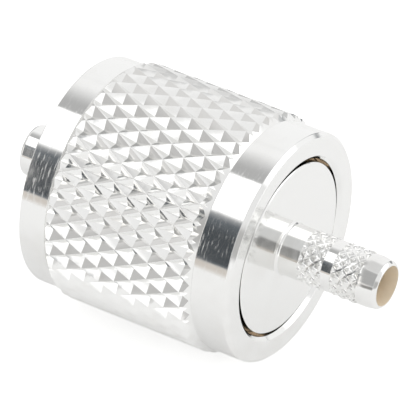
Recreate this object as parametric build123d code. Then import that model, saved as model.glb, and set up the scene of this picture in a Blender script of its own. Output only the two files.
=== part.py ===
from build123d import *

import os
from math import ceil, cos, floor, radians, sin, sqrt

# UHF plug for a crimped coaxial cable, in millimetres.
# The plug lies along X: the centre pin points to -X, the crimp tube to +X.
# The origin is on the axis, in the plane where the jack's rim seats on the body's flange.

# Coupling nut, outside
NUT_LENGTH = 17.74
COLLAR_OD = 17.56
FRONT_COLLAR = 2.21
REAR_COLLAR = 3.0
FRONT_RIM_CHAMFER = 0.05
REAR_RIM_CHAMFER = 0.3
KNURL_OD = 18.3
KNURL_STARTS = 42
KNURL_PITCH = 2.77
KNURL_DEPTH = 0.55
KNURL_BEVEL = 0.33
KNURL_STEP = 0.04
KNURL_FIRST_ROW = 0.667
KNURL_TURN = 52.31

# Coupling nut, inside
REAR_WALL = 3.6
BORE_CHAMFER = 0.3
THREAD_MAJOR = 15.875
THREAD_PITCH = 25.4 / 24
THREAD_STEPS = 26
RELIEF_LENGTH = 2.6
RELIEF_DEPTH = 0.1
LEAD_CHAMFER = 0.35

# Body
BARREL_OD = 13.1
DISC_RECESS = 0.15
DISC_CHAMFER = 0.08
FLANGE_THICKNESS = 1.8
NOSE_OD = 12.2
NOSE_WALL = 0.9
NOSE_LENGTH = 2.2
NOSE_CHAMFER = 0.25
CAVITY_DEPTH = 2.95
LUG_COUNT = 2
LUG_WIDTH = 1.4
LUG_LENGTH = 0.7
LUG_HEIGHT = 0.75

# Crimp tube, measured from the nut's rear face
TUBE_REACH = 8.03
TUBE_OD = 3.9
TUBE_BORE = 3.054
TUBE_TIP_WALL = 0.13
TUBE_TAPER = 0.98
HUB_CHAMFER = 0.25
BAND_STARTS = (1.65, 4.35)
BAND_LENGTHS = (1.88, 2.1)
GRIP_STARTS = 14
GRIP_PITCH = 0.87
GRIP_RISE = 0.1
GRIP_GROOVE = 0.1
GRIP_ROW = 0.37
GRIP_TURN = 85.0

# Retaining ring
RING_THICKNESS = 0.8
RING_WIDTH = 1.0
RING_SPREAD = 0.35
RING_GAP = 24.0

# Insulator and centre contact
INSULATOR_RECESS = 0.3
PIN_OD = 3.96
PIN_REACH = 4.66
PIN_CHAMFER = 0.28
NECK_OD = 3.1
TAIL_OD = 4.5
TAIL_LENGTH = 1.0
TAIL_RECESS = 0.5
CONDUCTOR_BORE = 1.3
CONDUCTOR_DEPTH = 9.0

# Clearances
BORE_CLEARANCE = 0.25
SHOULDER_CLEARANCE = 0.1
THREAD_CLEARANCE = 0.12
GROOVE_CLEARANCE = 0.1

# Places along the axis and radii that follow from the sizes above
SHOULDER_X = FLANGE_THICKNESS + SHOULDER_CLEARANCE
REAR_X = SHOULDER_X + REAR_WALL
FRONT_X = REAR_X - NUT_LENGTH
DISC_X = REAR_X - DISC_RECESS
NOSE_X = -NOSE_LENGTH
RING_X = SHOULDER_X + REAR_WALL / 2
THREAD_FRONT_X = FRONT_X + LEAD_CHAMFER
THREAD_REAR_X = SHOULDER_X - RELIEF_LENGTH
TUBE_END_X = REAR_X + TUBE_REACH
PIN_TIP_X = FRONT_X - PIN_REACH
INSULATOR_X = NOSE_X + INSULATOR_RECESS
TAIL_X = CAVITY_DEPTH - TAIL_RECESS

COLLAR_R = COLLAR_OD / 2
KNURL_R = KNURL_OD / 2
BARREL_R = BARREL_OD / 2
NUT_BORE_R = BARREL_R + BORE_CLEARANCE
THREAD_MAJOR_R = THREAD_MAJOR / 2
THREAD_MINOR_R = THREAD_MAJOR_R - 5 / 16 * sqrt(3) * THREAD_PITCH
THREAD_CORE_R = THREAD_MINOR_R - THREAD_CLEARANCE
RELIEF_R = THREAD_MAJOR_R + RELIEF_DEPTH
FLANGE_R = THREAD_CORE_R
NOSE_R = NOSE_OD / 2
CAVITY_R = NOSE_R - NOSE_WALL
TUBE_R = TUBE_OD / 2
TUBE_BORE_R = TUBE_BORE / 2
PIN_R = PIN_OD / 2
NECK_R = NECK_OD / 2
TAIL_R = TAIL_OD / 2
RING_OUTER_R = BARREL_R + RING_WIDTH - RING_SPREAD
RING_INNER_R = RING_OUTER_R - RING_WIDTH
NUT_GROOVE_R = RING_OUTER_R + GROOVE_CLEARANCE
BODY_GROOVE_R = BARREL_R - RING_WIDTH - GROOVE_CLEARANCE
GROOVE_HALF = RING_THICKNESS / 2 + GROOVE_CLEARANCE


def turned(*outline):
    """Turn a closed outline of (x, radius) points into a solid of revolution about X."""
    return revolve(make_face(Plane.XZ * Polyline(*outline, close=True)), Axis.X)


def rod(x_from, x_to, radius):
    """Return a plain round bar on the axis."""
    return turned((x_from, 0), (x_to, 0), (x_to, radius), (x_from, radius))


def on_cylinder(x, degrees, radius):
    """Return a point at an angle about X, measured from +Z towards -Y."""
    turn = radians(degrees)
    return (x, -radius * sin(turn), radius * cos(turn))


def polygon(*corners):
    """Return the flat face through some corners."""
    return Face(Wire.make_polygon([Vector(*corner) for corner in corners]))


def diamond_bar(x_from, x_to, first_row, turn, pitch, starts, line_r, cell_r):
    """Return a solid bar whose skin is a lattice of diamond cells.

    Two families of helical lines at radius line_r cross each other. Each diamond between them
    falls or rises to cell_r at its middle. The bar reaches past x_from and x_to, to be cut there.

    Args:
        first_row: place of one row of line crossings along X.
        turn: angle of one crossing in that row.
        pitch: distance along X between two crossings on one generator.
        starts: number of lines in each family.
    """
    half_pitch = pitch / 2
    half_step = 180 / starts
    first = ceil((x_from - first_row) / half_pitch) - 2
    last = floor((x_to - first_row) / half_pitch)
    front_hub = (first_row + (first + 0.5) * half_pitch, 0, 0)
    rear_hub = (first_row + (last + 1.5) * half_pitch, 0, 0)

    def lattice_point(row, column, radius):
        return on_cylinder(first_row + row * half_pitch, turn + column * half_step, radius)

    faces = []
    for row in range(first, last + 1):
        for start in range(starts):
            column = 2 * start + row % 2
            middle = lattice_point(row + 1, column, cell_r)
            front = lattice_point(row, column, line_r)
            left = lattice_point(row + 1, column + 1, line_r)
            rear = lattice_point(row + 2, column, line_r)
            right = lattice_point(row + 1, column - 1, line_r)
            faces += [polygon(front, left, middle), polygon(left, rear, middle)]
            faces += [polygon(rear, right, middle), polygon(right, front, middle)]
            if row == first:
                faces += [polygon(front_hub, left, front), polygon(front_hub, front, right)]
            if row == last:
                faces += [polygon(rear_hub, rear, left), polygon(rear_hub, right, rear)]
    return Solid(Shell(faces))


def flat_sided(sides, turn, *outline):
    """Return a bar with flat sides whose corners follow (x, radius) points, closed by two flat ends."""
    angles = [turn + 360 / sides * side for side in range(sides)]
    rings = [[on_cylinder(x, angle, radius) for angle in angles] for x, radius in outline]
    faces = [polygon(*rings[0]), polygon(*rings[-1])]
    for ring, after in zip(rings, rings[1:]):
        for side in range(sides):
            faces.append(polygon(ring[side - 1], ring[side], after[side], after[side - 1]))
    return Solid(Shell(faces))


def threaded_bar(x_from, x_to, pitch, major_r, minor_r, steps):
    """Return a solid bar with a right-handed 60 degree thread of flat facets.

    The thread's crests are an eighth of its pitch wide and its roots a quarter. The bar reaches
    past x_from and x_to, to be cut there.

    Args:
        steps: number of facets in one turn.
    """
    root = pitch / 4
    crest = pitch / 8
    flank = (pitch - root - crest) / 2
    corners = [(0, minor_r), (root, minor_r), (root + flank, major_r), (root + flank + crest, major_r)]
    turns = ceil((x_to - x_from) / pitch) + 2
    rows = len(corners) * turns
    front_hub = (x_from - pitch, 0, 0)
    rear_hub = (x_from + turns * pitch, 0, 0)

    def thread_point(row, step):
        offset, radius = corners[row % len(corners)]
        turn = row // len(corners) - 1 + step / steps
        return on_cylinder(x_from + offset + turn * pitch, 360 / steps * step, radius)

    faces = []
    for step in range(steps):
        for row in range(rows):
            near = thread_point(row, step)
            ahead = thread_point(row, step + 1)
            far = thread_point(row + 1, step + 1)
            beside = thread_point(row + 1, step)
            faces += [polygon(near, far, ahead), polygon(near, beside, far)]
        faces.append(polygon(front_hub, thread_point(0, step + 1), thread_point(0, step)))
        faces.append(polygon(rear_hub, thread_point(rows, step), thread_point(rows, step + 1)))
    for row in range(len(corners)):
        faces.append(polygon(front_hub, thread_point(row + 1, 0), thread_point(row, 0)))
        faces.append(polygon(rear_hub, thread_point(rows + row, 0), thread_point(rows + row + 1, 0)))
    return Solid(Shell(faces))


def nut_outside():
    """Return the nut's outer form: two smooth collars and the recessed diamond knurl between them."""
    knurl_from = FRONT_X + FRONT_COLLAR
    knurl_to = REAR_X - REAR_COLLAR
    seat_r = COLLAR_R - KNURL_STEP
    rise = KNURL_R - COLLAR_R + KNURL_BEVEL
    envelope = flat_sided(
        2 * KNURL_STARTS, KNURL_TURN,
        (knurl_from, seat_r),
        (knurl_from + rise, seat_r + rise),
        (knurl_to - rise, seat_r + rise),
        (knurl_to, seat_r),
    )
    skin = diamond_bar(
        knurl_from, knurl_to, knurl_from + KNURL_FIRST_ROW, KNURL_TURN, KNURL_PITCH,
        KNURL_STARTS, KNURL_R, KNURL_R - KNURL_DEPTH)
    front = turned(
        (FRONT_X, 0), (knurl_from, 0), (knurl_from, COLLAR_R),
        (FRONT_X + FRONT_RIM_CHAMFER, COLLAR_R), (FRONT_X, COLLAR_R - FRONT_RIM_CHAMFER))
    rear = turned(
        (knurl_to, 0), (REAR_X, 0), (REAR_X, COLLAR_R - REAR_RIM_CHAMFER),
        (REAR_X - REAR_RIM_CHAMFER, COLLAR_R), (knurl_to, COLLAR_R))
    return (skin & envelope) + front + rear


def nut_cavity():
    """Return the space inside the nut: rear bore, ring groove, thread relief and the thread's core."""
    return turned(
        (FRONT_X, 0),
        (REAR_X, 0),
        (REAR_X, NUT_BORE_R + BORE_CHAMFER),
        (REAR_X - BORE_CHAMFER, NUT_BORE_R),
        (RING_X + GROOVE_HALF, NUT_BORE_R),
        (RING_X + GROOVE_HALF, NUT_GROOVE_R),
        (RING_X - GROOVE_HALF, NUT_GROOVE_R),
        (RING_X - GROOVE_HALF, NUT_BORE_R),
        (SHOULDER_X, NUT_BORE_R),
        (SHOULDER_X, RELIEF_R),
        (THREAD_REAR_X, RELIEF_R),
        (THREAD_REAR_X, THREAD_CORE_R),
        (THREAD_FRONT_X + RELIEF_R - THREAD_CORE_R, THREAD_CORE_R),
        (THREAD_FRONT_X, RELIEF_R),
        (FRONT_X, RELIEF_R),
    )


def nut_thread():
    """Return the helical groove that the tap leaves between the lead chamfer and the relief."""
    bar = threaded_bar(
        THREAD_FRONT_X, THREAD_REAR_X, THREAD_PITCH, THREAD_MAJOR_R, THREAD_MINOR_R, THREAD_STEPS)
    return bar & rod(THREAD_FRONT_X, THREAD_REAR_X, RELIEF_R)


def make_coupling_nut():
    """Return the knurled nut that draws the plug onto the jack."""
    return nut_outside() - nut_cavity() - nut_thread()


def body_blank():
    """Return the body as it leaves the lathe, without lugs, grip bands and bores."""
    return turned(
        (NOSE_X, 0),
        (NOSE_X, NOSE_R - NOSE_CHAMFER),
        (NOSE_X + NOSE_CHAMFER, NOSE_R),
        (0, NOSE_R),
        (0, FLANGE_R),
        (FLANGE_THICKNESS, FLANGE_R),
        (FLANGE_THICKNESS, BARREL_R),
        (RING_X - GROOVE_HALF, BARREL_R),
        (RING_X - GROOVE_HALF, BODY_GROOVE_R),
        (RING_X + GROOVE_HALF, BODY_GROOVE_R),
        (RING_X + GROOVE_HALF, BARREL_R),
        (DISC_X - DISC_CHAMFER, BARREL_R),
        (DISC_X, BARREL_R - DISC_CHAMFER),
        (DISC_X, TUBE_R + HUB_CHAMFER),
        (DISC_X + HUB_CHAMFER, TUBE_R),
        (TUBE_END_X - TUBE_TAPER, TUBE_R),
        (TUBE_END_X, TUBE_BORE_R + TUBE_TIP_WALL),
        (TUBE_END_X, 0),
    )


def grip_band(x_from, x_to):
    """Return one band of raised diamonds that bite into the cable braid."""
    bar = diamond_bar(
        x_from, x_to, x_from + GRIP_ROW, GRIP_TURN, GRIP_PITCH,
        GRIP_STARTS, TUBE_R - GRIP_GROOVE, TUBE_R + GRIP_RISE)
    return bar & rod(x_from, x_to, 2 * TUBE_R)


def make_body():
    """Return the turned body: nose, flange, barrel, rear disc and crimp tube in one piece."""
    body = body_blank()
    for offset, length in zip(BAND_STARTS, BAND_LENGTHS):
        band_from = REAR_X + offset
        band_to = band_from + length
        body -= rod(band_from, band_to, 2 * TUBE_R)
        body += grip_band(band_from, band_to)
    lug_root = NOSE_WALL / 2
    lug_size = lug_root + LUG_HEIGHT
    lug = Pos(-LUG_LENGTH / 2, 0, NOSE_R + LUG_HEIGHT - lug_size / 2) * Box(LUG_LENGTH, LUG_WIDTH, lug_size)
    for index in range(LUG_COUNT):
        body += Rot(360 / LUG_COUNT * index, 0, 0) * lug
    body -= rod(NOSE_X, CAVITY_DEPTH, CAVITY_R)
    return body - rod(CAVITY_DEPTH, TUBE_END_X, TUBE_BORE_R)


def make_retaining_ring():
    """Return the open spring ring that keeps the nut on the body."""
    section = make_face(Plane.XZ * Polyline(
        (RING_X - RING_THICKNESS / 2, RING_INNER_R),
        (RING_X + RING_THICKNESS / 2, RING_INNER_R),
        (RING_X + RING_THICKNESS / 2, RING_OUTER_R),
        (RING_X - RING_THICKNESS / 2, RING_OUTER_R),
        close=True))
    return revolve(section, Axis.X, 360 - RING_GAP)


def make_insulator():
    """Return the white insulator that fills the body's cavity round the contact."""
    return turned(
        (INSULATOR_X, NECK_R),
        (INSULATOR_X, CAVITY_R),
        (CAVITY_DEPTH, CAVITY_R),
        (CAVITY_DEPTH, TAIL_R),
        (TAIL_X - TAIL_LENGTH, TAIL_R),
        (TAIL_X - TAIL_LENGTH, NECK_R),
    )


def make_centre_contact():
    """Return the centre contact: solid pin, neck through the insulator and hollow tail."""
    drill_end = TAIL_X - CONDUCTOR_DEPTH
    bore_r = CONDUCTOR_BORE / 2
    return turned(
        (PIN_TIP_X, 0),
        (PIN_TIP_X, PIN_R - PIN_CHAMFER),
        (PIN_TIP_X + PIN_CHAMFER, PIN_R),
        (INSULATOR_X, PIN_R),
        (INSULATOR_X, NECK_R),
        (TAIL_X - TAIL_LENGTH, NECK_R),
        (TAIL_X - TAIL_LENGTH, TAIL_R),
        (TAIL_X, TAIL_R),
        (TAIL_X, bore_r),
        (drill_end, bore_r),
        (drill_end - bore_r / 2, 0),
    )


def main():
    """Build every piece and write one file for each."""
    pieces = {
        "coupling_nut": make_coupling_nut(),
        "body": make_body(),
        "retaining_ring": make_retaining_ring(),
        "insulator": make_insulator(),
        "centre_contact": make_centre_contact(),
    }
    os.makedirs("parts", exist_ok=True)
    for name, piece in pieces.items():
        export_step(piece, f"parts/{name}.step")


if __name__ == "__main__":
    main()
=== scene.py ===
"""Dress the uhf crimp plug and light it in a small studio.

Bright nickel covers the knurled nut, the turned body and the pin. The insulator is white, the
retaining ring bronze and the cable bore bare brass.

The plug lies along X with its centre pin towards -X. Its pieces are modelled in millimetres and
brought to metres when they are finished.
"""

import logging
from dataclasses import dataclass
from enum import Enum
from math import ceil, cos, hypot, pi, radians, sin
from typing import Sequence

import bpy
from mathutils import Matrix, Vector

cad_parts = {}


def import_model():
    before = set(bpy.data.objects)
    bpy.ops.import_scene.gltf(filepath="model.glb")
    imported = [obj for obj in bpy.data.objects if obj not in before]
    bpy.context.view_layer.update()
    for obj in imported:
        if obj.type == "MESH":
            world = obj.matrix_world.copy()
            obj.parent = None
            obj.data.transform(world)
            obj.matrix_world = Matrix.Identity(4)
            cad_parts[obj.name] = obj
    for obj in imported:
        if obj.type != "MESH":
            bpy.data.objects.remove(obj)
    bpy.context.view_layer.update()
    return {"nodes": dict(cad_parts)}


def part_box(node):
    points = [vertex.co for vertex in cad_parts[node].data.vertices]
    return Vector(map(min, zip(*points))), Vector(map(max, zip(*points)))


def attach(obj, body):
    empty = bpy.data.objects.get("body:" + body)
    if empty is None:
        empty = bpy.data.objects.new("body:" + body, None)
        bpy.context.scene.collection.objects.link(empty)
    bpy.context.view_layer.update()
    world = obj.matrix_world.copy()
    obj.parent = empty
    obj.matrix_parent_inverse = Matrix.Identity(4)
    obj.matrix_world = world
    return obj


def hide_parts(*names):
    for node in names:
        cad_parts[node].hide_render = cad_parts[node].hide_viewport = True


Point = tuple[float, float]
Triple = tuple[float, float, float]
Colour = tuple[float, float, float, float]

LOG = logging.getLogger("uhf_plug")
MILLIMETRE = 0.001
WHITE = (1.0, 1.0, 1.0, 1.0)

# How pieces are cleaned and shaded, in millimetres and radians.
MERGE = 0.0005
SMOOTH_ANGLE = radians(32)
BEVEL_ANGLE = radians(28)

# How the flat rear faces and the cable bore are found, and which material each takes.
ON_FACE = 0.01
FACING_REAR = 0.99
FACED_INDEX = 1
BORE_INDEX = 2

# How far the body's disc lies inside the nut's rear face, in millimetres.
DISC_RECESS = 0.15


class Body(Enum):
    """The rigid bodies that pieces ride on."""

    PLUG = "plug_body"
    NUT = "nut"


class Slot(Enum):
    """Material slot names for the modelled pieces; hand_over is given one but does not use it."""

    NUT = "nut_nickel"
    BODY = "body_nickel"
    CONTACT = "contact_nickel"


def select_none() -> None:
    """Deselect every object."""
    bpy.ops.object.select_all(action="DESELECT")


def make_active(piece: bpy.types.Object) -> None:
    """Select one object alone and make it active."""
    select_none()
    piece.select_set(True)
    bpy.context.view_layer.objects.active = piece


def edit(piece: bpy.types.Object, everything: bool = True) -> None:
    """Open one object in edit mode, with all or none of it selected."""
    make_active(piece)
    bpy.ops.object.mode_set(mode="EDIT")
    bpy.ops.mesh.select_all(action="SELECT" if everything else "DESELECT")


def leave_edit() -> None:
    """Go back to object mode."""
    bpy.ops.object.mode_set(mode="OBJECT")


def apply_all(piece: bpy.types.Object) -> None:
    """Apply every modifier of one object in order."""
    make_active(piece)
    for name in [modifier.name for modifier in piece.modifiers]:
        bpy.ops.object.modifier_apply(modifier=name)


def close_and_clean(piece: bpy.types.Object) -> None:
    """Merge doubled points and turn every face outwards."""
    edit(piece)
    bpy.ops.mesh.remove_doubles(threshold=MERGE)
    bpy.ops.mesh.normals_make_consistent(inside=False)
    leave_edit()


def turn_outline(name: str, outline: Sequence[Point], segments: int, ring: bool) -> bpy.types.Object:
    """Turn an outline about X by extruding and sizing one loop of points after another.

    Args:
        name: the new object's name.
        outline: the outline's (x, radius) points in order.
        segments: points round the axis.
        ring: True where the last loop closes onto the first, False where both ends get a flat cap.

    Returns:
        The turned object, closed.
    """
    select_none()
    x, radius = outline[0]
    bpy.ops.mesh.primitive_circle_add(
        vertices=segments, radius=radius, location=(x, 0, 0), rotation=(0, pi / 2, 0))
    piece = bpy.context.active_object
    piece.name = name
    bpy.ops.object.transform_apply(location=True, rotation=True, scale=True)
    edit(piece)
    if not ring:
        bpy.ops.mesh.edge_face_add()
    for next_x, next_radius in outline[1:]:
        bpy.ops.mesh.extrude_region_move(TRANSFORM_OT_translate={"value": (next_x - x, 0, 0)})
        size = next_radius / radius
        bpy.ops.transform.resize(value=(1, size, size), center_override=(next_x, 0, 0))
        x, radius = next_x, next_radius
    if ring:
        bpy.ops.mesh.select_all(action="DESELECT")
        bpy.ops.mesh.select_non_manifold(extend=False)
        bpy.ops.mesh.bridge_edge_loops()
    leave_edit()
    close_and_clean(piece)
    return piece


def soften(piece: bpy.types.Object, width: float, steps: int = 2) -> None:
    """Break the piece's edges with a small rounded bevel.

    Args:
        piece: the object to soften.
        width: the bevel's width in millimetres.
        steps: faces across the bevel.
    """
    bevel = piece.modifiers.new("broken_edges", "BEVEL")
    bevel.limit_method = "ANGLE"
    bevel.angle_limit = BEVEL_ANGLE
    bevel.width = width
    bevel.segments = steps
    bevel.use_clamp_overlap = True
    apply_all(piece)


def smooth(piece: bpy.types.Object) -> None:
    """Shade smooth across soft edges, with flats kept flat by weighting normals by face size."""
    make_active(piece)
    bpy.ops.object.shade_smooth_by_angle(angle=SMOOTH_ANGLE)
    weighted = piece.modifiers.new("even_normals", "WEIGHTED_NORMAL")
    weighted.keep_sharp = True
    weighted.weight = 100
    apply_all(piece)


def to_metres(piece: bpy.types.Object) -> None:
    """Bring a piece from millimetres to metres, with its place in its mesh."""
    make_active(piece)
    piece.scale = (MILLIMETRE, MILLIMETRE, MILLIMETRE)
    bpy.ops.object.transform_apply(location=True, rotation=True, scale=True)


def cut(piece: bpy.types.Object, tool: bpy.types.Object, operation: str) -> None:
    """Combine a piece with a tool by an exact boolean, then delete the tool."""
    boolean = piece.modifiers.new("cut", "BOOLEAN")
    boolean.operation = operation
    boolean.solver = "EXACT"
    boolean.object = tool
    apply_all(piece)
    bpy.data.objects.remove(tool)


def close_ends(piece: bpy.types.Object) -> None:
    """Cap any open loop with a flat face and turn the faces outwards."""
    edit(piece, everything=False)
    bpy.ops.mesh.select_non_manifold(extend=False)
    bpy.ops.mesh.fill_holes(sides=0)
    leave_edit()
    close_and_clean(piece)


def mark_faced(piece: bpy.types.Object, x: float) -> None:
    """Give the flat rear face at one place along X the second material."""
    piece.data.materials.append(None)
    piece.data.materials.append(None)
    for face in piece.data.polygons:
        if face.normal.x > FACING_REAR and abs(face.center.x - x) < ON_FACE:
            face.material_index = FACED_INDEX


@dataclass(frozen=True)
class DiamondSkin:
    """A lattice of diamond cells wrapped round the X axis.

    Two families of helical lines cross at line_radius. A pit or a bump fills each diamond.
    """

    starts: int
    pitch: float
    line_radius: float
    first_row: float
    turn: float
    insets: tuple[Point, ...]
    middle: float

    def half_arc(self) -> float:
        """Return half the distance round the surface from one crossing to the next."""
        return pi * self.line_radius / self.starts

    def tile(self) -> bpy.types.Object:
        """Model one flat diamond cell, with the surface's height along Z."""
        select_none()
        bpy.ops.mesh.primitive_circle_add(vertices=4, radius=1, fill_type="NGON")
        cell = bpy.context.active_object
        cell.scale = (self.pitch / 2, self.half_arc(), 1)
        bpy.ops.object.transform_apply(location=True, rotation=True, scale=True)
        edit(cell)
        for width, rise in self.insets:
            bpy.ops.mesh.inset(thickness=width, depth=rise, use_boundary=True, use_even_offset=True)
        bpy.ops.mesh.poke(offset=self.middle)
        leave_edit()
        return cell

    def wrapped(self, name: str, x_from: float, x_to: float, inner: float) -> bpy.types.Object:
        """Lay copies of the cell round the axis and close them into a sleeve.

        Args:
            name: the sleeve's name.
            x_from: where the finished skin will start along X.
            x_to: where it will end.
            inner: the sleeve's inner radius.

        Returns:
            A closed sleeve that reaches past both ends, ready to be trimmed.
        """
        half_pitch = self.pitch / 2
        first = int((x_from - self.first_row) // half_pitch) - 1
        rows = int((x_to - self.first_row) // half_pitch) + 2 - first
        skin = self.tile()
        skin.name = name
        round_the_axis = skin.modifiers.new("round_the_axis", "ARRAY")
        round_the_axis.use_relative_offset = False
        round_the_axis.use_constant_offset = True
        round_the_axis.constant_offset_displace = (0, 2 * self.half_arc(), 0)
        round_the_axis.count = self.starts
        along = skin.modifiers.new("along", "ARRAY")
        along.use_relative_offset = False
        along.use_constant_offset = True
        along.constant_offset_displace = (half_pitch, self.half_arc(), 0)
        along.count = rows
        apply_all(skin)
        start_x = self.first_row + first * half_pitch
        start_arc = ((first + 1) % 2) * self.half_arc()
        for vertex in skin.data.vertices:
            angle = radians(self.turn) + (vertex.co.y + start_arc) / self.line_radius
            radius = self.line_radius + vertex.co.z
            vertex.co = (vertex.co.x + start_x, -radius * sin(angle), radius * cos(angle))
        edit(skin)
        bpy.ops.mesh.remove_doubles(threshold=MERGE)
        bpy.ops.mesh.select_all(action="DESELECT")
        bpy.ops.mesh.select_non_manifold(extend=False)
        bpy.ops.mesh.extrude_region_move()
        size = inner / self.line_radius
        bpy.ops.transform.resize(value=(1, size, size), center_override=(0, 0, 0))
        bpy.ops.mesh.bridge_edge_loops()
        bpy.ops.mesh.select_all(action="SELECT")
        bpy.ops.mesh.normals_make_consistent(inside=False)
        leave_edit()
        return skin


class NodeTree:
    """Short ways to place and wire shader nodes."""

    def __init__(self, tree: bpy.types.NodeTree) -> None:
        """Start on an emptied tree."""
        self.tree = tree
        tree.nodes.clear()

    def add(self, kind: str, **settings: object) -> bpy.types.Node:
        """Add a node and set its properties."""
        node = self.tree.nodes.new(kind)
        for key, value in settings.items():
            setattr(node, key, value)
        return node

    def wire(self, source: bpy.types.NodeSocket, target: bpy.types.NodeSocket) -> None:
        """Join one socket to another."""
        self.tree.links.new(source, target)

    def maths(self, operation: str, *values: float | bpy.types.NodeSocket) -> bpy.types.NodeSocket:
        """Add a math node whose inputs are numbers or sockets, and return its result."""
        node = self.add("ShaderNodeMath", operation=operation)
        for socket, value in zip(node.inputs, values):
            if isinstance(value, (int, float)):
                socket.default_value = value
            else:
                self.wire(value, socket)
        return node.outputs[0]

    def blend(self, amount: bpy.types.NodeSocket, first: Colour | bpy.types.NodeSocket,
              second: Colour) -> bpy.types.NodeSocket:
        """Mix from a first colour to a second one by an amount, and return the result."""
        node = self.add("ShaderNodeMix", data_type="RGBA")
        self.wire(amount, node.inputs[0])
        if isinstance(first, tuple):
            node.inputs[6].default_value = first
        else:
            self.wire(first, node.inputs[6])
        node.inputs[7].default_value = second
        return node.outputs[2]

    def stretched(self, place: bpy.types.NodeSocket, scale: Triple) -> bpy.types.NodeSocket:
        """Scale coordinates along each axis."""
        node = self.add("ShaderNodeMapping")
        node.inputs["Scale"].default_value = scale
        self.wire(place, node.inputs["Vector"])
        return node.outputs[0]

    def noise(self, place: bpy.types.NodeSocket, scale: float, detail: float) -> bpy.types.NodeSocket:
        """Add a noise pattern and return its value."""
        node = self.add("ShaderNodeTexNoise")
        node.inputs["Scale"].default_value = scale
        node.inputs["Detail"].default_value = detail
        self.wire(place, node.inputs["Vector"])
        return node.outputs["Fac"]

    def bump(self, height: bpy.types.NodeSocket, distance: float,
             under: bpy.types.NodeSocket | None = None) -> bpy.types.NodeSocket:
        """Raise a pattern on the surface, over another bump if one is given, and return the normal."""
        node = self.add("ShaderNodeBump")
        node.inputs["Strength"].default_value = 1.0
        node.inputs["Distance"].default_value = distance
        self.wire(height, node.inputs["Height"])
        if under is not None:
            self.wire(under, node.inputs["Normal"])
        return node.outputs[0]

    def spread(self, value: bpy.types.NodeSocket, low: float, high: float,
               to_low: float = 0.0, to_high: float = 1.0) -> bpy.types.NodeSocket:
        """Map a value from one range to another, clamped and eased."""
        node = self.add("ShaderNodeMapRange", interpolation_type="SMOOTHSTEP")
        node.inputs["From Min"].default_value = low
        node.inputs["From Max"].default_value = high
        node.inputs["To Min"].default_value = to_low
        node.inputs["To Max"].default_value = to_high
        self.wire(value, node.inputs["Value"])
        return node.outputs["Result"]

    def band(self, value: bpy.types.NodeSocket, ends: Point, soft: Point) -> bpy.types.NodeSocket:
        """Return 1 between two places and 0 outside them, with eased edges."""
        rise = self.spread(value, ends[0] - soft[0], ends[0] + soft[0])
        fall = self.spread(value, ends[1] - soft[1], ends[1] + soft[1], 1.0, 0.0)
        return self.maths("MULTIPLY", rise, fall)


class Surface:
    """A new material with one Principled shader, read in the piece's object coordinates."""

    def __init__(self, name: str, metallic: float) -> None:
        """Start the material.

        Args:
            name: the material's name.
            metallic: 1 for bare metal, 0 for anything else.
        """
        self.material = bpy.data.materials.new(name)
        self.material.use_nodes = True
        self.nodes = NodeTree(self.material.node_tree)
        output = self.nodes.add("ShaderNodeOutputMaterial")
        shader = self.nodes.add("ShaderNodeBsdfPrincipled")
        self.nodes.wire(shader.outputs[0], output.inputs[0])
        self.inputs = shader.inputs
        self.inputs["Metallic"].default_value = metallic
        self.place = self.nodes.add("ShaderNodeTexCoord").outputs["Object"]

    def dress(self, colour: bpy.types.NodeSocket, roughness: bpy.types.NodeSocket,
              normal: bpy.types.NodeSocket) -> bpy.types.Material:
        """Wire the colour, gloss and relief to the shader, and return the material."""
        self.nodes.wire(colour, self.inputs["Base Color"])
        self.nodes.wire(roughness, self.inputs["Roughness"])
        self.nodes.wire(normal, self.inputs["Normal"])
        return self.material


@dataclass(frozen=True)
class NickelPlate:
    """Bright nickel over machined brass, with smears, streaks, turning marks and faint dents.

    Smears dull it in patches and streaks in short strokes round the axis. Sizes are in metres.
    """

    name: str
    colour: Colour = (0.90, 0.90, 0.89, 1)
    smear_colour: Colour = (0.86, 0.855, 0.84, 1)
    roughness: float = 0.06
    smear_roughness: float = 0.13
    streak_roughness: float = 0.06
    smears_per_metre: float = 260.0
    smear_span: Point = (0.45, 0.75)
    dull_span: Point = (0.45, 0.8)
    streaks_per_metre: Triple = (7000.0, 1300.0, 1300.0)
    streak_span: Point = (0.52, 0.78)
    marks_per_metre: Triple = (2600.0, 18.0, 18.0)
    marks_height: float = 1.2e-6
    dents_per_metre: float = 900.0
    dents_height: float = 1.2e-6

    def build(self) -> bpy.types.Material:
        """Build the material."""
        surface = Surface(self.name, metallic=1.0)
        nodes, place = surface.nodes, surface.place
        smears = nodes.noise(place, self.smears_per_metre, detail=5.0)
        colour = nodes.blend(nodes.spread(smears, *self.smear_span), self.colour, self.smear_colour)
        dull = nodes.spread(smears, *self.dull_span, self.roughness, self.smear_roughness)
        streaks = nodes.noise(nodes.stretched(place, self.streaks_per_metre), 1.0, detail=1.0)
        streaked = nodes.spread(streaks, *self.streak_span, self.roughness, self.streak_roughness)
        marks = nodes.noise(nodes.stretched(place, self.marks_per_metre), 1.0, detail=2.0)
        dents = nodes.noise(place, self.dents_per_metre, detail=1.0)
        turned = nodes.bump(marks, self.marks_height)
        dented = nodes.bump(dents, self.dents_height, turned)
        return surface.dress(colour, nodes.maths("MAXIMUM", dull, streaked), dented)


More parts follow.
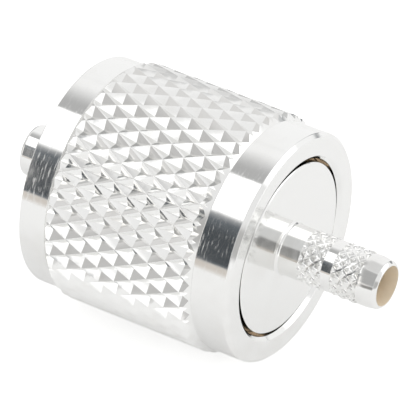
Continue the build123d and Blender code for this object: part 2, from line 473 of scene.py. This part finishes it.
@dataclass(frozen=True)
class PlainFinish:
    """A finish with a mottled colour, uneven gloss and a slight grain. Sizes are in metres."""

    name: str
    colour: Colour
    shade: Colour
    roughness: float
    metallic: float
    grains_per_metre: float
    grain_height: float
    scatter: float = 0.0
    scatter_depth: Triple = (0.001, 0.0009, 0.0008)
    mottle_span: Point = (0.35, 0.7)
    gloss_span: Point = (0.3, 0.7)
    unevenness: float = 0.15

    def build(self) -> bpy.types.Material:
        """Build the material."""
        surface = Surface(self.name, self.metallic)
        surface.inputs["Subsurface Weight"].default_value = self.scatter
        surface.inputs["Subsurface Radius"].default_value = self.scatter_depth
        nodes = surface.nodes
        grain = nodes.noise(surface.place, self.grains_per_metre, detail=6.0)
        colour = nodes.blend(nodes.spread(grain, *self.mottle_span), self.colour, self.shade)
        gloss = nodes.spread(grain, *self.gloss_span, self.roughness * (1 - self.unevenness),
                             self.roughness * (1 + self.unevenness))
        return surface.dress(colour, gloss, nodes.bump(grain, self.grain_height))


@dataclass(frozen=True)
class Finishes:
    """Every finish on the plug."""

    nut: bpy.types.Material
    knurl: bpy.types.Material
    body: bpy.types.Material
    faced: bpy.types.Material
    contact: bpy.types.Material
    brass: bpy.types.Material
    insulator: bpy.types.Material
    bronze: bpy.types.Material

    @classmethod
    def made(cls) -> "Finishes":
        """Build every finish once."""
        return cls(
            nut=NickelPlate("turned_nickel", streak_roughness=0.18, dents_height=4e-6).build(),
            knurl=NickelPlate("knurled_nickel", roughness=0.09, smear_roughness=0.14,
                              marks_height=4e-7, smears_per_metre=700.0,
                              dents_per_metre=1100.0, dents_height=1e-5).build(),
            body=NickelPlate("polished_nickel", streak_roughness=0.16, marks_height=6e-7,
                             dents_per_metre=700.0, dents_height=3e-5).build(),
            faced=NickelPlate("faced_nickel", roughness=0.12, smear_roughness=0.16).build(),
            contact=NickelPlate("pin_nickel", roughness=0.08, smear_roughness=0.12).build(),
            brass=PlainFinish("bare_brass", (0.97, 0.86, 0.70, 1), (0.94, 0.83, 0.66, 1),
                              roughness=0.5, metallic=0.05, grains_per_metre=900.0,
                              grain_height=3e-6).build(),
            insulator=PlainFinish("white_bush", (0.90, 0.90, 0.87, 1), (0.86, 0.86, 0.83, 1),
                                  roughness=0.42, metallic=0.0, grains_per_metre=500.0,
                                  grain_height=4e-6, scatter=0.2).build(),
            bronze=PlainFinish("spring_bronze", (0.48, 0.33, 0.19, 1), (0.38, 0.26, 0.15, 1),
                               roughness=0.3, metallic=1.0, grains_per_metre=800.0,
                               grain_height=3e-6).build(),
        )


def hand_over(piece: bpy.types.Object, body: Body, slot: Slot, materials: Sequence[bpy.types.Material],
              *nodes: str) -> None:
    """Bring a finished piece to metres, dress it and let it ride on its body.

    Args:
        piece: the finished object, in millimetres.
        body: the body it moves with.
        slot: not used.
        materials: its materials, the main one first.
        nodes: the CAD nodes that it stands for.
    """
    to_metres(piece)
    for index, material in enumerate(materials):
        if index < len(piece.data.materials):
            piece.data.materials[index] = material
        else:
            piece.data.materials.append(material)
    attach(piece, body.value)
    if nodes:
        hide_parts(*nodes)
    LOG.info("%s: %d faces", piece.name, len(piece.data.polygons))


@dataclass
class CouplingNut:
    """The knurled coupling nut: turned blank, diamond knurl and inner thread. Sizes in millimetres."""

    front_x: float
    rear_x: float
    collar_r: float = 8.78
    knurl_r: float = 9.15
    front_collar: float = 2.21
    rear_collar: float = 3.0
    knurl_bevel: float = 0.33
    knurl_step: float = 0.04
    knurl_seat: float = 8.3
    starts: int = 42
    pitch: float = 2.77
    depth: float = 0.55
    crest: float = 0.02
    first_row: float = 0.667
    turn: float = 52.31
    bore_r: float = 6.8
    bore_chamfer: float = 0.3
    rear_wall: float = 3.6
    groove_r: float = 7.3
    groove_half: float = 0.5
    thread_root_r: float = 7.9375
    thread_crest_r: float = 7.365
    thread_pitch: float = 25.4 / 24
    relief_r: float = 8.0375
    relief_length: float = 2.6
    front_chamfer: float = 0.05
    rim_chamfer: float = 0.3
    lead: float = 0.35
    broken_edge: float = 0.04
    skin_depth: float = 0.3
    overlap: float = 0.1
    tuck: float = 0.03
    run_in: int = 2
    knurl_smooth: float = radians(24)
    thread_steps: int = 96
    segments: int = 224

    def knurl_ends(self) -> Point:
        """Return where the knurl starts and ends along X."""
        return self.front_x + self.front_collar, self.rear_x - self.rear_collar

    def thread_ends(self) -> Point:
        """Return where the thread starts and ends along X."""
        return self.front_x + self.lead, self.rear_x - self.rear_wall - self.relief_length

    def blank(self) -> bpy.types.Object:
        """Turn the nut's blank: collars outside, bore, groove and threaded wall inside."""
        start, end = self.knurl_ends()
        thread_start, thread_end = self.thread_ends()
        shoulder = self.rear_x - self.rear_wall
        groove = self.rear_x - self.rear_wall / 2
        outline = [
            (self.front_x, self.relief_r),
            (self.front_x, self.collar_r - self.front_chamfer),
            (self.front_x + self.front_chamfer, self.collar_r),
            (start, self.collar_r),
            (start, self.knurl_seat),
            (end, self.knurl_seat),
            (end, self.collar_r),
            (self.rear_x - self.rim_chamfer, self.collar_r),
            (self.rear_x, self.collar_r - self.rim_chamfer),
            (self.rear_x, self.bore_r + self.bore_chamfer),
            (self.rear_x - self.bore_chamfer, self.bore_r),
            (groove + self.groove_half, self.bore_r),
            (groove + self.groove_half, self.groove_r),
            (groove - self.groove_half, self.groove_r),
            (groove - self.groove_half, self.bore_r),
            (shoulder, self.bore_r),
            (shoulder, self.relief_r),
            (thread_end, self.relief_r),
            (thread_end, self.thread_root_r),
            (thread_start + self.relief_r - self.thread_root_r, self.thread_root_r),
            (thread_start, self.relief_r),
        ]
        blank = turn_outline("nut_blank", outline, self.segments, ring=True)
        soften(blank, self.broken_edge)
        smooth(blank)
        return blank

    def knurl(self) -> bpy.types.Object:
        """Wrap the diamond knurl, its crests rounded by narrow steps, and bevel its ends."""
        start, end = self.knurl_ends()
        half_crest = self.crest / 2
        crest_r = half_crest / sin(pi / 4)
        quarter = pi / 8
        steps = (
            (crest_r * sin(quarter), -crest_r * (1 - cos(quarter))),
            (half_crest - crest_r * sin(quarter), -crest_r * (cos(quarter) - cos(pi / 4))),
        )
        fall = self.depth - crest_r * (1 - cos(pi / 4))
        skin = DiamondSkin(self.starts, self.pitch, self.knurl_r, start + self.first_row, self.turn,
                           steps, -fall)
        sleeve = skin.wrapped("nut_knurl", start, end, self.knurl_seat - self.skin_depth)
        rise = self.knurl_r - self.collar_r + self.knurl_bevel
        edge_r = self.collar_r - self.knurl_step
        envelope = turn_outline("knurl_envelope", [
            (start, self.knurl_seat - self.overlap),
            (start, edge_r),
            (start + rise, edge_r + rise),
            (end - rise, edge_r + rise),
            (end, edge_r),
            (end, self.knurl_seat - self.overlap),
        ], self.segments, ring=True)
        cut(sleeve, envelope, "INTERSECT")
        close_and_clean(sleeve)
        make_active(sleeve)
        bpy.ops.object.shade_smooth_by_angle(angle=self.knurl_smooth)
        return sleeve

    def thread(self) -> bpy.types.Object:
        """Sweep the inner thread's ridge along its helix and trim it to the threaded wall."""
        crest_half = self.thread_pitch / 8
        root_half = self.thread_pitch / 16
        flank = self.thread_pitch / 2 - crest_half - root_half
        thread_start, thread_end = self.thread_ends()
        turns = ceil((thread_end - thread_start) / self.thread_pitch) + self.run_in + 1
        first = thread_start + crest_half - self.run_in * self.thread_pitch
        select_none()
        bpy.ops.mesh.primitive_circle_add(vertices=4, radius=1, fill_type="NOTHING")
        ridge = bpy.context.active_object
        ridge.name = "nut_thread"
        corners = [
            (first - flank - crest_half, self.thread_root_r + self.tuck),
            (first - crest_half, self.thread_crest_r),
            (first + crest_half, self.thread_crest_r),
            (first + flank + crest_half, self.thread_root_r + self.tuck),
        ]
        for vertex, (x, radius) in zip(ridge.data.vertices, corners):
            vertex.co = (x, 0, radius)
        screw = ridge.modifiers.new("helix", "SCREW")
        screw.axis = "X"
        screw.angle = 2 * pi
        screw.screw_offset = self.thread_pitch
        screw.iterations = turns
        screw.steps = self.thread_steps
        screw.render_steps = self.thread_steps
        apply_all(ridge)
        close_ends(ridge)
        lip = self.thread_crest_r - self.overlap
        envelope = turn_outline("thread_envelope", [
            (thread_start, self.relief_r),
            (thread_start + self.relief_r - lip, lip),
            (thread_end, lip),
            (thread_end, self.relief_r),
        ], self.thread_steps, ring=True)
        cut(ridge, envelope, "INTERSECT")
        close_and_clean(ridge)
        make_active(ridge)
        bpy.ops.object.shade_smooth_by_angle(angle=SMOOTH_ANGLE)
        return ridge

    def build(self, finishes: Finishes) -> None:
        """Make the nut's pieces and let them ride on the nut."""
        blank = self.blank()
        mark_faced(blank, self.rear_x)
        hand_over(blank, Body.NUT, Slot.NUT, [finishes.nut, finishes.faced], "coupling_nut")
        hand_over(self.knurl(), Body.NUT, Slot.NUT, [finishes.knurl])
        hand_over(self.thread(), Body.NUT, Slot.NUT, [finishes.nut])


@dataclass
class PlugBody:
    """The turned body with its crimp tube. Sizes in millimetres, places from the seat plane."""

    nose_x: float
    tube_end: float
    rear_x: float
    disc_x: float
    nose_r: float = 6.1
    nose_wall: float = 0.9
    nose_chamfer: float = 0.25
    flange_r: float = 7.245
    flange: float = 1.8
    barrel_r: float = 6.55
    disc_chamfer: float = 0.08
    ring_x: float = 3.7
    groove_half: float = 0.5
    groove_r: float = 5.45
    cavity: float = 2.95
    tube_r: float = 1.95
    bore_r: float = 1.527
    hub: float = 0.25
    tip_wall: float = 0.13
    taper: float = 0.98
    taper_drop: float = 0.1
    tip: float = 0.22
    lip: float = 0.07
    band_starts: tuple[float, ...] = (1.65, 4.35)
    band_lengths: tuple[float, ...] = (1.88, 2.1)
    band_seat: float = 1.75
    grip_starts: int = 14
    grip_pitch: float = 0.87
    grip_groove: float = 0.1
    grip_steps: tuple[Point, ...] = ((0.1, 0.01), (0.07, 0.1), (0.06, 0.05))
    grip_top: float = 0.02
    grip_row: float = 0.37
    grip_turn: float = 85.0
    lug_size: Triple = (0.7, 1.4, 0.75)
    lugs: int = 2
    lug_edge: float = 0.12
    broken_edge: float = 0.03
    hub_steps: int = 8
    skin_depth: float = 0.14
    overlap: float = 0.05
    headroom: float = 0.5
    grip_smooth: float = radians(50)
    grip_segments: int = 64
    segments: int = 192

    def shell(self) -> bpy.types.Object:
        """Turn the body from the nose to the tube's end, with the bore through it."""
        cavity_r = self.nose_r - self.nose_wall
        outline = [
            (self.nose_x, cavity_r),
            (self.nose_x, self.nose_r - self.nose_chamfer),
            (self.nose_x + self.nose_chamfer, self.nose_r),
            (0, self.nose_r),
            (0, self.flange_r),
            (self.flange, self.flange_r),
            (self.flange, self.barrel_r),
            (self.ring_x - self.groove_half, self.barrel_r),
            (self.ring_x - self.groove_half, self.groove_r),
            (self.ring_x + self.groove_half, self.groove_r),
            (self.ring_x + self.groove_half, self.barrel_r),
            (self.disc_x - self.disc_chamfer, self.barrel_r),
            (self.disc_x, self.barrel_r - self.disc_chamfer),
        ]
        for step in range(self.hub_steps + 1):
            angle = pi / 2 * step / self.hub_steps
            outline.append((self.disc_x + self.hub * (1 - cos(angle)),
                            self.tube_r + self.hub * (1 - sin(angle))))
        for start, length in zip(self.band_starts, self.band_lengths):
            outline += [
                (self.rear_x + start, self.tube_r),
                (self.rear_x + start, self.band_seat),
                (self.rear_x + start + length, self.band_seat),
                (self.rear_x + start + length, self.tube_r),
            ]
        outline += [
            (self.tube_end - self.taper, self.tube_r),
            (self.tube_end - self.tip, self.tube_r - self.taper_drop),
            (self.tube_end - self.lip, self.bore_r + self.tip_wall + self.lip),
            (self.tube_end, self.bore_r + self.tip_wall),
            (self.tube_end, self.bore_r),
            (self.cavity, self.bore_r),
            (self.cavity, cavity_r),
        ]
        shell = turn_outline("plug_shell", outline, self.segments, ring=True)
        soften(shell, self.broken_edge)
        smooth(shell)
        mark_faced(shell, self.disc_x)
        self.mark_bore(shell)
        return shell

    def mark_bore(self, shell: bpy.types.Object) -> None:
        """Give the faces of the cable bore the third material."""
        shell.data.materials.append(None)
        for face in shell.data.polygons:
            centre = face.center
            if centre.x > self.cavity and hypot(centre.y, centre.z) < self.bore_r + ON_FACE:
                face.material_index = BORE_INDEX

    def band(self, number: int) -> bpy.types.Object:
        """Wrap one grip band of raised diamonds."""
        start = self.rear_x + self.band_starts[number]
        end = start + self.band_lengths[number]
        skin = DiamondSkin(self.grip_starts, self.grip_pitch, self.tube_r - self.grip_groove,
                           start + self.grip_row, self.grip_turn, self.grip_steps, self.grip_top)
        sleeve = skin.wrapped(f"grip_band_{number + 1}", start, end, self.band_seat - self.skin_depth)
        foot = self.band_seat - self.overlap
        envelope = turn_outline("band_envelope", [
            (start, foot),
            (start, self.tube_r + self.headroom),
            (end, self.tube_r + self.headroom),
            (end, foot),
        ], self.grip_segments, ring=True)
        cut(sleeve, envelope, "INTERSECT")
        close_and_clean(sleeve)
        make_active(sleeve)
        bpy.ops.object.shade_smooth_by_angle(angle=self.grip_smooth)
        return sleeve

    def lug(self, number: int) -> bpy.types.Object:
        """Shape one locating lug on the nose from a block with broken edges."""
        length, width, height = self.lug_size
        root = self.nose_wall / 2
        select_none()
        bpy.ops.mesh.primitive_cube_add(
            size=1, location=(-length / 2, 0, self.nose_r + (height - root) / 2),
            scale=(length, width, height + root))
        lug = bpy.context.active_object
        lug.name = f"nose_lug_{number + 1}"
        bpy.ops.object.transform_apply(location=True, rotation=True, scale=True)
        lug.data.transform(Matrix.Rotation(2 * pi * number / self.lugs, 4, "X"))
        soften(lug, self.lug_edge, 3)
        smooth(lug)
        return lug

    def build(self, finishes: Finishes) -> None:
        """Make the body's pieces and let them ride on the plug."""
        hand_over(self.shell(), Body.PLUG, Slot.BODY,
                  [finishes.body, finishes.faced, finishes.brass], "body")
        for number in range(len(self.band_starts)):
            hand_over(self.band(number), Body.PLUG, Slot.BODY, [finishes.body])
        for number in range(self.lugs):
            hand_over(self.lug(number), Body.PLUG, Slot.BODY, [finishes.body])


@dataclass
class CentreContact:
    """The centre contact with its hollow tail. Sizes in millimetres."""

    tip_x: float
    tail_x: float
    insulator_x: float
    pin_r: float = 1.98
    tip_round: float = 0.28
    neck_r: float = 1.55
    collar_r: float = 2.25
    collar: float = 1.0
    bore_r: float = 0.65
    bore_depth: float = 9.0
    round_steps: int = 6
    segments: int = 128

    def build(self, finishes: Finishes) -> None:
        """Turn the contact, round its tip and let it ride on the plug."""
        outline = []
        for step in range(self.round_steps + 1):
            angle = pi / 2 * step / self.round_steps
            outline.append((self.tip_x + self.tip_round * (1 - cos(angle)),
                            self.pin_r - self.tip_round * (1 - sin(angle))))
        outline += [
            (self.insulator_x, self.pin_r),
            (self.insulator_x, self.neck_r),
            (self.tail_x - self.collar, self.neck_r),
            (self.tail_x - self.collar, self.collar_r),
            (self.tail_x, self.collar_r),
            (self.tail_x, self.bore_r),
            (self.tail_x - self.bore_depth, self.bore_r),
        ]
        contact = turn_outline("centre_pin", outline, self.segments, ring=False)
        close_ends(contact)
        smooth(contact)
        hand_over(contact, Body.PLUG, Slot.CONTACT, [finishes.contact], "centre_contact")


def grey(level: float, warm: float = 0.0) -> Colour:
    """Return a grey with a slight warm or cool cast."""
    return (level * (1 + warm), level, level * (1 - warm), 1)


@dataclass(frozen=True)
class Card:
    """A soft-edged card in the studio, seen from the plug.

    Its place is given by the X part of the direction to it, and by the turn about the plug's axis
    from straight up towards the front, in degrees. A card lies over those before it.
    """

    along: Point
    turn: Point
    level: float
    warmth: float
    soft_along: float
    soft_turn: Point


CARDS = (
    # Behind the plug, for the far sides of the collars and the knurl.
    Card((-2.0, 0.28), (-76, -48), 0.62, 0.0, 0.05, (5, 8)),
    Card((-2.0, 0.28), (-91, -76), 0.20, -0.06, 0.05, (3, 4)),
    Card((-0.56, -0.08), (-100, -44), 1.0, 0.0, 0.03, (4, 4)),
    # Towards the pin, for slopes that face it.
    Card((-2.0, -0.68), (-40, 112), 0.76, 0.01, 0.05, (12, 6)),
    Card((-2.0, -0.68), (26, 92), 0.58, 0.01, 0.05, (12, 6)),
    # On both sides of the collars' strip, for gentle slopes.
    Card((-0.68, -0.30), (10, 47), 0.60, 0.0, 0.04, (6, 3)),
    Card((-0.66, -0.20), (49, 84), 1.50, 0.02, 0.03, (2, 5)),
    Card((-0.34, -0.08), (-35, 12), 0.74, 0.0, 0.03, (8, 4)),
    Card((-0.34, -0.08), (14, 74), 0.46, 0.0, 0.03, (4, 4)),
    Card((-0.34, -0.08), (76, 90), 0.30, 0.03, 0.03, (4, 1.5)),
    # The narrow strip that the collars, the tube and the pin mirror.
    Card((-0.50, -0.34), (-22, 0), 0.48, 0.0, 0.03, (14, 1.5)),
    Card((-0.475, -0.375), (0.5, 40), 1.60, 0.0, 0.01, (1.5, 3)),
    Card((-0.470, -0.377), (43, 89), 0.15, -0.10, 0.006, (5, 1.5)),
    Card((-0.470, -0.377), (53, 86), 0.08, -0.10, 0.006, (8, 1.5)),
    Card((-0.470, -0.377), (88.5, 96), 0.62, 0.08, 0.006, (1.5, 4)),
    # Square to the axis, for slopes that face the tube.
    Card((-0.04, 0.34), (36, 150), 1.25, 0.0, 0.02, (4, 8)),
    Card((0.05, 0.20), (-14, 36), 0.92, 0.0, 0.02, (6, 4)),
    Card((0.13, 0.20), (56, 70), 0.92, 0.0, 0.02, (4, 4)),
    Card((0.20, 0.34), (74, 104), 1.75, 0.0, 0.02, (3, 6)),
    Card((-0.12, 0.04), (46, 84), 0.25, -0.05, 0.015, (8, 2)),
    Card((-0.12, 0.01), (-34, -2), 0.66, 0.0, 0.015, (12, 2)),
    # Towards the tube, for chamfers and steep slopes.
    Card((0.35, 2.0), (-64, -6), 1.60, 0.0, 0.03, (3, 3)),
    Card((0.36, 0.52), (-3, 40), 0.72, -0.01, 0.02, (3, 8)),
    Card((0.36, 0.52), (42, 96), 0.22, 0.0, 0.02, (7, 4)),
    Card((0.36, 0.52), (86, 102), 0.48, 0.10, 0.02, (4, 6)),
    Card((0.52, 2.0), (-22, 40), 0.88, 0.0, 0.02, (6, 8)),
    Card((0.52, 2.0), (44, 92), 0.50, 0.01, 0.02, (10, 6)),
)


@dataclass(frozen=True)
class Studio:
    """The pale floor, the surrounding light and the camera."""

    floor_z: float
    floor_size: float = 0.2
    room_level: float = 1.0
    floor_colour: Colour = (0.84, 0.84, 0.835, 1)
    shown_glow: float = 0.6
    mirrored_glow: float = 0.22
    azimuth: float = 32.396
    elevation: float = 37.489
    distance: float = 0.3596147
    aim_right: float = -0.005997
    aim_up: float = 0.0029516
    focal_pixels: float = 5000.0
    picture_pixels: float = 416.0
    sensor: float = 36.0
    clip: Point = (0.01, 20.0)

    def floor(self) -> None:
        """Lay a pale floor that keeps the plug's soft shadow."""
        select_none()
        bpy.ops.mesh.primitive_plane_add(size=self.floor_size, location=(0, 0, self.floor_z))
        floor = bpy.context.active_object
        floor.name = "studio_floor"
        material = bpy.data.materials.new("pale_floor")
        material.use_nodes = True
        nodes = NodeTree(material.node_tree)
        output = nodes.add("ShaderNodeOutputMaterial")
        diffuse = nodes.add("ShaderNodeBsdfDiffuse")
        diffuse.inputs["Color"].default_value = self.floor_colour
        glow = nodes.add("ShaderNodeEmission")
        path = nodes.add("ShaderNodeLightPath")
        shown = nodes.maths("MULTIPLY", path.outputs["Is Camera Ray"], self.shown_glow)
        mirrored = nodes.maths("MULTIPLY", path.outputs["Is Glossy Ray"], self.mirrored_glow)
        nodes.wire(nodes.maths("ADD", shown, mirrored), glow.inputs["Strength"])
        both = nodes.add("ShaderNodeAddShader")
        nodes.wire(diffuse.outputs[0], both.inputs[0])
        nodes.wire(glow.outputs[0], both.inputs[1])
        nodes.wire(both.outputs[0], output.inputs[0])
        floor.data.materials.append(material)

    def surround(self) -> None:
        """Light the plug from all round by a pale room with white, grey and dark cards in it."""
        world = bpy.data.worlds.new("studio")
        bpy.context.scene.world = world
        world.use_nodes = True
        nodes = NodeTree(world.node_tree)
        output = nodes.add("ShaderNodeOutputWorld")
        background = nodes.add("ShaderNodeBackground")
        nodes.wire(background.outputs[0], output.inputs[0])
        place = nodes.add("ShaderNodeTexCoord")
        parts = nodes.add("ShaderNodeSeparateXYZ")
        nodes.wire(place.outputs["Generated"], parts.inputs[0])
        along = parts.outputs["X"]
        front = nodes.maths("MULTIPLY", parts.outputs["Y"], -1.0)
        turn = nodes.maths("MULTIPLY", nodes.maths("ARCTAN2", front, parts.outputs["Z"]), 180 / pi)
        light: Colour | bpy.types.NodeSocket = grey(self.room_level)
        for card in CARDS:
            beside = nodes.band(along, card.along, (card.soft_along, card.soft_along))
            share = nodes.maths("MULTIPLY", beside, nodes.band(turn, card.turn, card.soft_turn))
            light = nodes.blend(share, light, grey(card.level, card.warmth))
        path = nodes.add("ShaderNodeLightPath")
        shown = nodes.blend(path.outputs["Is Camera Ray"], light, WHITE)
        nodes.wire(shown, background.inputs["Color"])

    def camera(self, centre: Vector) -> None:
        """Set up the camera at the photograph's angle.

        Args:
            centre: the middle of the nut's rear face, in metres.
        """
        azimuth, elevation = radians(self.azimuth), radians(self.elevation)
        right = Vector((cos(azimuth), sin(azimuth), 0))
        back = Vector((sin(azimuth) * cos(elevation), -cos(azimuth) * cos(elevation), sin(elevation)))
        up = back.cross(right)
        aim = centre + right * self.aim_right + up * self.aim_up
        data = bpy.data.cameras.new("camera")
        data.sensor_width = self.sensor
        data.lens = self.focal_pixels / self.picture_pixels * self.sensor
        data.clip_start, data.clip_end = self.clip
        camera = bpy.data.objects.new("camera", data)
        bpy.context.scene.collection.objects.link(camera)
        rotation = Matrix((right, up, back)).transposed().to_4x4()
        camera.matrix_world = Matrix.Translation(aim + back * self.distance) @ rotation
        bpy.context.scene.camera = camera


def main() -> None:
    """Load the frame, build the plug's pieces, the studio and the camera."""
    logging.basicConfig(level=logging.INFO, format="%(name)s: %(message)s")
    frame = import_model()
    finishes = Finishes.made()
    nut_low, nut_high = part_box("coupling_nut")
    body_low, body_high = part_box("body")
    pin_low, pin_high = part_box("centre_contact")
    bush_low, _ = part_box("insulator")
    nut_rear = nut_high.x / MILLIMETRE
    CouplingNut(nut_low.x / MILLIMETRE, nut_rear).build(finishes)
    PlugBody(body_low.x / MILLIMETRE, body_high.x / MILLIMETRE, nut_rear,
             nut_rear - DISC_RECESS).build(finishes)
    CentreContact(pin_low.x / MILLIMETRE, pin_high.x / MILLIMETRE,
                  bush_low.x / MILLIMETRE).build(finishes)
    for node, material in (("insulator", finishes.insulator), ("retaining_ring", finishes.bronze)):
        frame["nodes"][node].data.materials.clear()
        frame["nodes"][node].data.materials.append(material)
    studio = Studio(floor_z=nut_low.z)
    studio.floor()
    studio.surround()
    studio.camera(Vector((nut_high.x, 0, 0)))
    bpy.context.scene.view_settings.view_transform = "Standard"


if __name__ == "__main__":
    main()
